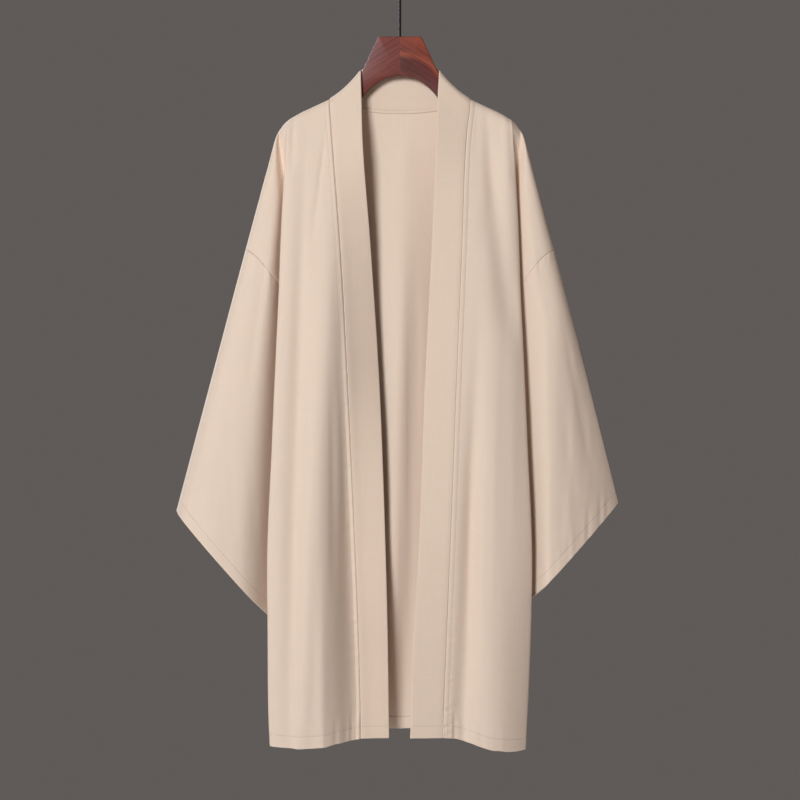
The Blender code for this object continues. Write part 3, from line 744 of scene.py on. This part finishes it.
def sleeve_layer(side, face, outer, inner, bulge, bend):
    """The front or back of a sleeve, with its creases, its cuff and the pull of its seams."""
    hang = "behind" if face == BACK else HALF[side]
    layer = arm_layer(outer, inner, sleeve_shares, bulge, bend, hang)
    relief = drape(layer[..., 0], layer[..., 2], 2.1 * side + face) * ease(3 * sleeve_down)
    for crease in SLEEVE_CREASES[side]:
        if crease.face == face:
            along = np.clip((sleeve_down - crease.start) / (crease.end - crease.start), 0, 1)
            line = mix(crease.start_share, crease.end_share, along)
            strength = ease(3 * along) * ease(3 * (1 - along))
            relief = relief + crease.height * strength * bell(sleeve_shares - line, crease.width)
    above = (1 - sleeve_down) * SLEEVE_LENGTH
    below = sleeve_down * SLEEVE_LENGTH
    gather = CUFF_GATHER[side] * mix(1.0, CUFF_GATHER_INNER, ease(sleeve_shares / CUFF_GATHER_RUN))
    relief = relief + hem_finish(CUFF_PUCKER_RUN * layer[..., 0], above, 2.2 * side, gather)
    puckers = PUCKER * ripple(layer[..., 0], SEAM_PUCKER_PITCH, 1.0 + side)
    relief = relief + puckers * bell(below, SLEEVE_PUCKER_RUN)
    relief = relief - SEAM_DIP * bell(below, SEAM_DIP_WIDTH)
    free = ease(sleeve_shares / SLEEVE_EDGE) * ease((SLEEVE_REACH - sleeve_shares) / SLEEVE_SEAM)
    layer[..., 1] = np.maximum(layer[..., 1] + relief * free, SLEEVE_LEAST)
    return swung(side, world(side, face, layer))


def sleeve_edge(side, outer, inner, bend, share):
    """Line down the sleeve where its front and back meet."""
    line = arm_layer(outer, inner, np.array((share,)), 0 * bend, bend, "behind")
    return swung(side, world(side, FRONT, line))


LAP_HEIGHT = 0.004
LAP_SUNK = 0.0014
LAP_LEAST = 0.0003
LAP_DRAWN_IN = 0.96
LAP_AIM_ROW = 20


def sleeve_lap(ring):
    """Seam allowance of the sleeve's head, turned up inside the armhole."""
    middle = ring[0].mean(axis=0)
    sunk = middle + (ring[0] - middle) * LAP_DRAWN_IN
    sunk[:, 1] = np.sign(ring[0, :, 1]) * np.maximum(np.abs(ring[0, :, 1]) - LAP_SUNK, LAP_LEAST)
    up = middle - ring[LAP_AIM_ROW].mean(axis=0)
    return np.array((sunk + up / np.linalg.norm(up) * LAP_HEIGHT, sunk))


sleeves = {}
sleeve_rings = {}
for side, half in HALF.items():
    outer, inner = (mix(np.array(head), np.array(cuff[side]), np.maximum(sleeve_down, start))[:, None]
                    for head, cuff, start in ((ARMHOLE_TOP, CUFF_TOP, SLEEVE_START["outer"]),
                                              (ARMHOLE_BASE, CUFF_BASE, SLEEVE_START["inner"])))
    bulge = mix(ARMHOLE_BULGE[side], CUFF_BULGE[side], sleeve_down)
    bend = mix(ARMHOLE_BEND, 1.0, ease(sleeve_down))
    front_layer = sleeve_layer(side, FRONT, outer, inner, bulge, bend)
    back_layer = sleeve_layer(side, BACK, outer, inner, bulge, bend)
    inner_edge = sleeve_edge(side, outer, inner, bend, SLEEVE_REACH)
    outer_edge = sleeve_edge(side, outer, inner, bend, 0.0)
    ring = joined((inner_edge, front_layer, outer_edge, back_layer[:, ::-1], inner_edge), axis=1)
    sleeve_rings[side] = ring
    ring = joined((sleeve_lap(ring), ring))
    name = "sleeve_" + half
    sleeves[side] = cloth(name + "_cloth", ring, hemmed(ring), woven_cloth, side == LEFT)
    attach(sleeves[side], "root")
    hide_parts(name)

# Collar: one long strip of the cloth doubled lengthwise, from hem to hem round the neck. It is sewn
# to the fronts and the back neckline, and folds over at the shoulders, where its ridge sags a little.
BAND_HALF = 0.0011
BAND_SEAM_HALF = 0.0004
BAND_SEAM_FADE = 0.12
BAND_SEAM_GAP = 0.0002
BAND_NECK_GAP = 0.0007
BAND_EDGE_FROM = 0.965
BAND_RIDGE_LIFT = 0.0405
BAND_RIDGE_SAG = 0.0042
BAND_RIDGE_OUT = 0.0548
BAND_FAN = 0.100
BAND_PROUD = 0.003
BAND_PROUD_FROM = (0.3, 0.3)
BAND_NECK_PROUD = 0.006
BAND_NECK_PROUD_DROP = 0.24
BAND_NECK_PROUD_RUN = 0.07
BAND_WAVE = 0.0007
BAND_WAVE_PITCH = 0.21
BAND_SET_BACK = {RIGHT: 0.035, LEFT: 0.008}
BAND_SET_BACK_FROM = (0.22, 0.36)
BAND_LOW_SET_BACK = {RIGHT: 0.012, LEFT: -0.008}
BAND_LOW_SET_BACK_FROM = (0.70, 0.30)
BAND_BOW = {RIGHT: 0.0014, LEFT: 0.0}
BAND_BACK_DROP = 0.1535
BAND_BACK_DEPTH = 0.0120
BAND_BACK_BEND = 2.1
BAND_EAR = 0.0055
BAND_EAR_ANGLE = 0.66
BAND_EAR_RUN = (0.38, 0.55)
BAND_LAP = 0.085
BAND_LAP_SUNK = 0.0014
BAND_LAP_RISES = -0.008
BAND_GROOVE = {RIGHT: 0.022, LEFT: 0.018}
band_shares = joined((np.linspace(-BAND_LAP, -0.02, 4),
                      (-0.010, -0.002, 0.006, 0.016, 0.03, 0.06, 0.10),
                      np.linspace(0.15, 0.90, 15), (0.94,),
                      mix(BAND_EDGE_FROM, 1, np.sin(np.linspace(0, np.pi / 2, 6)))))


def band_rows(seam, edge, sag, bow):
    """Middle of the band's thickness, from its seam to its free edge, bowed out and sagging."""
    across = mix(seam[:, None], edge[:, None], band_shares[:, None])
    within = np.clip(band_shares, 0, 1)
    across[..., 1] -= 27 / 4 * bow[:, None] * within * (1 - within) ** 2
    across[..., 2] += 4 * sag[:, None] * band_shares * (1 - band_shares)
    return across


def band_side(side):
    """One side of the band, from the hem up over the shoulder to the middle of the neck."""
    seam = front_seams[side].copy()
    lift = BAND_RIDGE_LIFT * (1 - onset(seam[:, 2], NECK_DROP, BAND_FAN))
    drop = seam[:, 2] - lift
    depth = read(BODY, "front", drop) + BAND_PROUD * onset(drop, *BAND_PROUD_FROM)
    depth = depth + BAND_WAVE * ripple(drop, BAND_WAVE_PITCH, 1.0 + side)
    depth = depth + BAND_NECK_PROUD * bell(drop - BAND_NECK_PROUD_DROP, BAND_NECK_PROUD_RUN)
    set_back = onset(drop, *BAND_SET_BACK_FROM)
    depth = depth - BAND_SET_BACK[side] * set_back
    depth = depth - BAND_LOW_SET_BACK[side] * onset(drop, *BAND_LOW_SET_BACK_FROM)
    sag = np.zeros(len(seam))
    depth[:len(ROLL_TURNS)] *= np.sin(ROLL_TURNS)
    sag[:len(ROLL_TURNS)] = BAND_RIDGE_SAG * np.cos(ROLL_TURNS)
    edge = places(read(LAPEL, HALF[side] + "_edge", drop), depth, drop)
    apart = edge - seam
    seam = seam + apart * BAND_SEAM_GAP / np.linalg.norm(apart, axis=1, keepdims=True)
    front = world(side, FRONT, band_rows(seam, edge, sag, BAND_BOW[side] * set_back))[::-1]
    turns = neck_turns[-2::-1]
    neck = neck_line(turns) - np.array((0, 0, BAND_NECK_GAP))
    round_neck = (1 - turns) ** BAND_BACK_BEND
    angle = np.pi / 2 * round_neck
    ear = bell(angle - BAND_EAR_ANGLE, np.where(angle < BAND_EAR_ANGLE, *BAND_EAR_RUN))
    rim = places(BAND_RIDGE_OUT * np.sqrt(np.clip(np.cos(angle), 0, 1)),
                 BAND_BACK_DEPTH * np.sqrt(np.sin(angle)),
                 mix(NECK_DROP - BAND_RIDGE_LIFT, BAND_BACK_DROP, round_neck) - BAND_EAR * ear)
    behind = world(side, BACK, band_rows(neck, rim, BAND_RIDGE_SAG * (1 - round_neck) ** 4, 0 * turns))
    return joined((front, behind))


def facing(points):
    """Outward direction at each point of a grid."""
    out = np.cross(np.gradient(points, axis=1), np.gradient(points, axis=0))
    return out / np.maximum(np.linalg.norm(out, axis=2, keepdims=True), 1e-12)


band_right = band_side(RIGHT)
band_left = band_side(LEFT)
band_middle = joined((band_right, band_left[-2::-1]))
band_out = facing(band_middle)
rounding = np.clip((band_shares - BAND_EDGE_FROM) / (1 - BAND_EDGE_FROM), 0, 1)
band_half = mix(BAND_SEAM_HALF, BAND_HALF, ease(band_shares / BAND_SEAM_FADE)) * np.sqrt(1 - rounding ** 2)
groove = np.where(np.arange(len(band_middle)) < len(band_right), BAND_GROOVE[RIGHT], BAND_GROOVE[LEFT])
band_sunk = BAND_LAP_SUNK * (1 - onset(band_shares, BAND_LAP_RISES, groove[:, None]))
band_middle = band_middle - band_out * band_sunk[..., None]
band_offset = band_out * band_half[:, None]
outer_face = band_middle + band_offset
inner_face = band_middle - band_offset
collar_points = joined((outer_face, inner_face[:, ::-1][:, 1:], outer_face[:, :1]), axis=1)
# Painted shade: the collar is the body's cloth, coloured a little darker and pinker to stand for the shade on
# the band.
collar_cloth = cloth_material("collar_cloth", (0.76, 0.572, 0.428))
collar = cloth("collar_cloth", collar_points, None, collar_cloth, closed=True)
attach(collar, "root")
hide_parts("collar")

# Stitching: rows of lockstitch in thread that matches the cloth, coloured much darker as painted shade of the
# stitch holes. They run beside the collar's seam, round the back of the neck, and along the turned-up hems of
# the body and the cuffs.
STITCH = 0.0026
STITCH_PITCH = 0.0034
THREAD = 0.0005
THREAD_PROUD = 0.15
THREAD_TWIST = 900
THREAD_TONES = (0.85, 1.12)
# Painted shade: the thread matches the cloth, but is coloured much darker to stand for the shade in its
# stitch holes.
thread_painted_shade_colour = (0.42, 0.30, 0.21)


def line_in(points, outward, distance):
    """Line on a piece of cloth that runs this far in from its first column, and its facing."""
    steps = np.linalg.norm(np.diff(points, axis=1), axis=2)
    reach = joined((np.zeros((len(points), 1)), np.cumsum(steps, axis=1)), axis=1)
    both = joined((points, outward), axis=2)
    line = np.array([[np.interp(distance, reach[row], both[row, :, axis]) for axis in range(6)]
                     for row in range(len(points))])
    return line[:, :3], line[:, 3:]


def hem_line(points, outward):
    """Line of the hem's stitches, above a piece's last row."""
    turned = points[::-1].transpose(1, 0, 2)
    return line_in(turned, outward[::-1].transpose(1, 0, 2), HEM_DEPTH)


def sew(bm, line, outward):
    """Stitches along a line, each a short thread that dips into the cloth at its ends."""
    length = np.append(0, np.cumsum(np.linalg.norm(np.diff(line, axis=0), axis=1)))
    for middle in np.arange(STITCH_PITCH / 2, length[-1] - STITCH_PITCH / 2, STITCH_PITCH):
        ends = [np.array([np.interp(middle + step, length, line[:, axis]) for axis in range(3)])
                for step in (-STITCH / 2, STITCH / 2)]
        up = Vector([np.interp(middle, length, outward[:, axis]) for axis in range(3)]).normalized()
        along = Vector(ends[1] - ends[0]).normalized()
        beside = up.cross(along).normalized()
        up = along.cross(beside)
        centre = Vector((ends[0] + ends[1]) / 2) + up * THREAD * THREAD_PROUD
        turn = Matrix((along, beside, up)).transposed().to_4x4()
        size = Matrix.Diagonal((STITCH / 2, THREAD / 2, THREAD / 2, 1))
        bmesh.ops.create_uvsphere(bm, u_segments=6, v_segments=5, radius=1,
                                  matrix=Matrix.Translation(centre) @ turn @ size)


def stitching(name, lines):
    """Rows of stitches in one piece, each sewn in a bmesh of its own, which is quicker."""
    bm = bmesh.new()
    for line, outward in lines:
        row = bmesh.new()
        sew(row, line, outward)
        sewn = bpy.data.meshes.new(name + "_row")
        row.to_mesh(sewn)
        row.free()
        bm.from_mesh(sewn)
        bpy.data.meshes.remove(sewn)
    piece = finished(bm, name, thread)
    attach(piece, "root")
    return piece


def ramp(tree, value, stops):
    """A colour that follows a value along a row of (position, tone) stops."""
    colour = add_node(tree, "ValToRGB", {0: value})[0]
    elements = colour.node.color_ramp.elements
    elements[0].position, elements[1].position = stops[0][0], stops[-1][0]
    elements[0].color, elements[1].color = (*stops[0][1], 1), (*stops[-1][1], 1)
    for position, tone in stops[1:-1]:
        elements.new(position).color = (*tone, 1)
    return colour


def thread_painted_shade_material():
    """Spun polyester thread with its twist, coloured well below the cloth's tone as painted shade of its
    stitch holes.
    """
    surface, tree, shader = new_finish("thread")
    place = add_node(tree, "TexCoord", {})["Object"]
    twist = add_node(tree, "TexNoise", {"Vector": place, "Scale": THREAD_TWIST})["Fac"]
    tones = [(stop, [share * part for part in thread_painted_shade_colour]) for stop, share in enumerate(THREAD_TONES)]
    set_inputs(tree, shader, {"Base Color": ramp(tree, twist, tones), "Roughness": 0.6})
    return surface


NECK_STITCH_UP = 0.0052
NECK_BAND_WIDTH = 0.04
COLLAR_END_ROWS = 40
thread = thread_painted_shade_material()
panel_columns = len(front_shares) + len(FLANK_SHARES)
for side, half in HALF.items():
    points = world(side, FRONT, front_halves[side])[:, :panel_columns]
    outward = facing(points) * (-side)
    beside_seam = line_in(points[2:], outward[2:], SEAM_STITCH_IN)
    front_lines = [beside_seam, hem_line(points, outward)]
    stitching(half + "_front_stitching", front_lines)
    ring = sleeve_rings[side]
    cuff_lines = [hem_line(ring, facing(ring) * (-side))]
    stitching(half + "_cuff_stitching", cuff_lines)
cut_away = len(ARM_SHARES)
hem_points = back_points[len(ROLL_TURNS) + ARM_ROWS:, cut_away:-cut_away]
back_out = facing(hem_points)
back_lines = [hem_line(hem_points, back_out), hem_line(hem_points - back_out * HEM_WALL, -back_out)]
back_stitching = stitching("back_hem_stitching", back_lines)
neck_rows = slice(len(front_halves[RIGHT]), len(band_middle) - len(front_halves[LEFT]))
neck_lap = BAND_LAP * NECK_BAND_WIDTH
neck_lines = [line_in(outer_face[neck_rows], band_out[neck_rows], NECK_STITCH_UP + neck_lap),
              line_in(inner_face[neck_rows], -band_out[neck_rows], NECK_STITCH_UP)]
neck_stitching = stitching("neck_stitching", neck_lines)
end_lines = []
for rows in (slice(0, COLLAR_END_ROWS), slice(-1, -1 - COLLAR_END_ROWS, -1)):
    for face_points, direction in ((outer_face, 1), (inner_face, -1)):
        turned = face_points[rows].transpose(1, 0, 2)
        end_lines.append(line_in(turned, direction * band_out[rows].transpose(1, 0, 2), HEM_DEPTH))
end_stitching = stitching("collar_end_stitching", end_lines)

# Hanger: two flat halves of red-brown hardwood, glued in the middle, rounded over at the edges and
# lacquered. The grain runs along each arm, so it meets at an angle at the glue line.
HANGER_HALF = 0.0055
HANGER_ROUND = 0.0032
GLUE_GAP = 0.0002
HANGER_TOP = ((0.0285, 0.1040), (0.0300, 0.1046), (0.0312, 0.1068))
UPPER = {
    "out": (0.0525, 0.0620, 0.0800, 0.1000, 0.1220, 0.1400, 0.1500, 0.1570),
    "drop": (0.1520, 0.1655, 0.1842, 0.1946, 0.2043, 0.2127, 0.2185, 0.2240),
}
TIP = ((0.1600, 0.2276), (0.1615, 0.2315), (0.1612, 0.2360), (0.1590, 0.2388))
LOWER = {
    "out": (0.0000, 0.0200, 0.0360, 0.0480, 0.0545, 0.0660, 0.0800, 0.1000, 0.1250, 0.1480, 0.1560),
    "drop": (0.1588, 0.1622, 0.1715, 0.1828, 0.1915, 0.2035, 0.2115, 0.2200, 0.2300, 0.2392, 0.2400),
}
GRAIN_SLANT = 32
PITH = (-0.007, 0.0, -0.206)
RING_WANDER = 0.016
RING_REACH = (0.045, 0.125)
GRAIN_TONES = ((0.30, (0.72, 0.68, 0.66)), (0.62, (1.12, 1.10, 1.08)))
PORE_TONES = ((0.28, (0.55, 0.50, 0.48)), (0.40, (1, 1, 1)))
LACQUER = {"Roughness": 0.38, "Specular IOR Level": 0.12, "Coat Weight": 0.25, "Coat Roughness": 0.24}
FIGURES = {
    RIGHT: ((0.0, (0.164, 0.038, 0.026)), (0.35, (0.185, 0.045, 0.031)), (0.65, (0.175, 0.040, 0.028)),
            (1.0, (0.191, 0.046, 0.031))),
    LEFT: ((0.0, (0.196, 0.048, 0.031)), (0.25, (0.122, 0.032, 0.025)), (0.44, (0.127, 0.032, 0.025)),
           (0.52, (0.307, 0.071, 0.036)), (0.60, (0.196, 0.044, 0.027)), (0.85, (0.260, 0.055, 0.028)),
           (1.0, (0.212, 0.048, 0.027))),
}


def wood_material(name, side):
    """Red-brown stained hardwood: growth rings cut at a slant, fine long grain and a clear lacquer."""
    surface, tree, shader = new_finish(name)
    place = add_node(tree, "TexCoord", {})["Object"]
    slant = (0, math.radians(-GRAIN_SLANT * side), 0)
    along = add_node(tree, "Mapping", {"Vector": place, "Rotation": slant})[0]

    def noise(scale, stretch, detail):
        stretched = add_node(tree, "VectorMath", {0: along, 1: stretch}, operation="MULTIPLY")
        return add_node(tree, "TexNoise", {"Vector": stretched[0], "Scale": scale, "Detail": detail})["Fac"]

    def times(first, second):
        return add_node(tree, "Mix", {0: 1, 6: first, 7: second}, data_type="RGBA", blend_type="MULTIPLY")[2]

    from_pith = add_node(tree, "VectorMath", {0: place, 1: PITH}, operation="DISTANCE")["Value"]
    uneven = noise(scale=26, stretch=(0.5, 1, 1.6), detail=3)
    wander = add_node(tree, "Math", {0: uneven, 1: RING_WANDER, 2: from_pith}, operation="MULTIPLY_ADD")
    rings = {"Value": wander[0], "From Min": RING_REACH[0], "From Max": RING_REACH[1]}
    figure = ramp(tree, add_node(tree, "MapRange", rings)[0], FIGURES[side])
    grain = ramp(tree, noise(scale=120, stretch=(0.14, 1.5, 2.4), detail=4), GRAIN_TONES)
    pores = ramp(tree, noise(scale=420, stretch=(0.06, 2, 2), detail=2), PORE_TONES)
    set_inputs(tree, shader, {"Base Color": times(times(figure, grain), pores), **LACQUER})
    return surface


def only(kind, geom):
    return [item for item in geom if isinstance(item, kind)]


def hanger_half(name, side, surface):
    """One half of the hanger: its outline filled, drawn out to its thickness and rounded over."""
    upper_outs = np.linspace(UPPER["out"][0], UPPER["out"][-1], 34)
    upper = [(GLUE_GAP / 2, HANGER_TOP[0][1])] + list(HANGER_TOP)
    upper += list(zip(upper_outs, read(UPPER, "drop", upper_outs))) + list(TIP)
    lower_outs = np.linspace(GLUE_GAP / 2, LOWER["out"][-1], len(upper))
    lower = list(zip(lower_outs, read(LOWER, "drop", lower_outs)))
    bm = bmesh.new()
    bmesh.ops.create_grid(bm, x_segments=len(upper) - 1, y_segments=1, size=0.5)
    for vert in bm.verts:
        station = round((vert.co.x + 0.5) * (len(upper) - 1))
        out, drop = (upper if vert.co.y > 0 else lower)[station]
        vert.co = (side * out, HANGER_HALF, -drop)
    drawn = bmesh.ops.extrude_face_region(bm, geom=bm.faces[:])["geom"]
    bmesh.ops.translate(bm, verts=only(bmesh.types.BMVert, drawn), vec=(0, -2 * HANGER_HALF, 0))
    bmesh.ops.recalc_face_normals(bm, faces=bm.faces)

    def glued(edge):
        return all(abs(vert.co.x) < GLUE_GAP for vert in edge.verts)

    rims = [edge for edge in bm.edges if edge.calc_face_angle() > math.radians(60) and not glued(edge)
            and abs(edge.verts[0].co.y - edge.verts[1].co.y) < 1e-6]
    bmesh.ops.bevel(bm, geom=rims, offset=HANGER_ROUND, offset_type="OFFSET", affect="EDGES", segments=5,
                    profile=0.5, material=-1, clamp_overlap=True)
    piece = finished(bm, name, surface)
    piece.data.set_sharp_from_angle(angle=math.radians(35))
    return piece


for side, half in HALF.items():
    name = "hanger_" + half
    wood = hanger_half(name + "_wood", side, wood_material(name + "_wood", side))
    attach(wood, "root")
    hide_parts(name)

# Hook: one length of blackened steel wire, set upright in the top of the hanger at the glue line. It
# is straight where it leaves the wood, then swings aside and is bent round over the rail.
WIRE_R = 0.00175
HOOK_R = 0.020
BEND_R = 0.02255
BEND_TURN = math.radians(58)
RING_TURN = math.radians(263)
STEM_BOTTOM = -0.1037
STEM_TOP = -0.0543
STEEL_WEAR = 260
STEEL_TONES = ((0, (0.006, 0.006, 0.007)), (1, (0.022, 0.022, 0.024)))


def steel_material():
    """Blackened steel with a faintly uneven, slightly worn skin."""
    surface, tree, shader = new_finish("dark_steel")
    place = add_node(tree, "TexCoord", {})["Object"]
    wear = add_node(tree, "TexNoise", {"Vector": place, "Scale": STEEL_WEAR})["Fac"]
    rough = add_node(tree, "MapRange", {"Value": wear, "To Min": 0.45, "To Max": 0.65})[0]
    tone = ramp(tree, wear, STEEL_TONES)
    set_inputs(tree, shader, {"Base Color": tone, "Roughness": rough, "Metallic": 0.8})
    return surface


bm = bmesh.new()
bmesh.ops.create_circle(bm, segments=16, radius=WIRE_R, cap_ends=True)
bmesh.ops.translate(bm, verts=bm.verts, vec=(0, 0, STEM_BOTTOM))
grown = bmesh.ops.extrude_face_region(bm, geom=bm.faces[:], use_keep_orig=True)["geom"]
bmesh.ops.translate(bm, verts=only(bmesh.types.BMVert, grown), vec=(0, 0, STEM_TOP - STEM_BOTTOM))
last = only(bmesh.types.BMFace, grown)
for centre, axis, angle, steps in (((BEND_R, 0, STEM_TOP), (0, 1, 0), BEND_TURN, 14),
                                   ((0, 0, WIRE_R - HOOK_R), (0, -1, 0), RING_TURN, 56)):
    turned = bmesh.ops.spin(bm, geom=last, cent=centre, axis=axis, angle=angle, steps=steps)["geom_last"]
    bmesh.ops.delete(bm, geom=last, context="FACES_ONLY")
    last = only(bmesh.types.BMFace, turned)
bmesh.ops.remove_doubles(bm, verts=bm.verts, dist=1e-6)
bmesh.ops.recalc_face_normals(bm, faces=bm.faces)
wire = finished(bm, "hook_wire", steel_material())
wire.data.set_sharp_from_angle(angle=math.radians(50))
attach(wire, "root")
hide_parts("hook")

# Studio: a pale floor well below the hem, a large soft light high on the left, a weak warm one on the
# right and one behind on the left, and a camera level with the middle of the jacket.
FLOOR_DROP = 1.62
CAMERA_AWAY = 2.8
CAMERA_DROP = 0.6122
scene = bpy.context.scene
pale_floor, tree, shader = new_finish("pale_floor")
set_inputs(tree, shader, {"Base Color": (0.62, 0.63, 0.66, 1), "Roughness": 0.9})
bm = bmesh.new()
bmesh.ops.create_grid(bm, x_segments=1, y_segments=1, size=1.9,
                      matrix=Matrix.Translation((0, 0, -FLOOR_DROP)))
floor = finished(bm, "floor", pale_floor)


def soft_light(name, place, aim, size, power, colour):
    lamp = bpy.data.lights.new(name, "AREA")
    lamp.shape = "DISK"
    lamp.size = size
    lamp.energy = power
    lamp.color = colour
    light = bpy.data.objects.new(name, lamp)
    light.location = place
    light.rotation_euler = (Vector(aim) - Vector(place)).to_track_quat("-Z", "Y").to_euler()
    scene.collection.objects.link(light)


soft_light("key", place=(-1.42, -3.26, 0.52), aim=(0, 0, -0.6), size=1.2, power=131, colour=(0.84, 0.91, 1.0))
soft_light("fill", place=(1.6, -2.8, -0.2), aim=(0, 0, -0.6), size=1.8, power=3.0, colour=(1.0, 0.80, 0.62))
soft_light("behind", place=(-1.5, 2.4, 0.8), aim=(0, 0, -0.5), size=2.2, power=80, colour=(0.90, 0.95, 1.0))
sky = bpy.data.worlds.new("studio")
sky.use_nodes = True
background = sky.node_tree.nodes["Background"]
set_inputs(sky.node_tree, background, {"Color": (0.340, 0.306, 0.290, 1), "Strength": 0.34})
scene.world = sky
scene.view_settings.view_transform = "Standard"

eye = bpy.data.cameras.new("camera")
eye.lens = 90
eye.sensor_width = 36
camera = bpy.data.objects.new("camera", eye)
camera.location = (0, -CAMERA_AWAY, -CAMERA_DROP)
camera.rotation_euler = (math.radians(90), 0, 0)
scene.collection.objects.link(camera)
scene.camera = camera
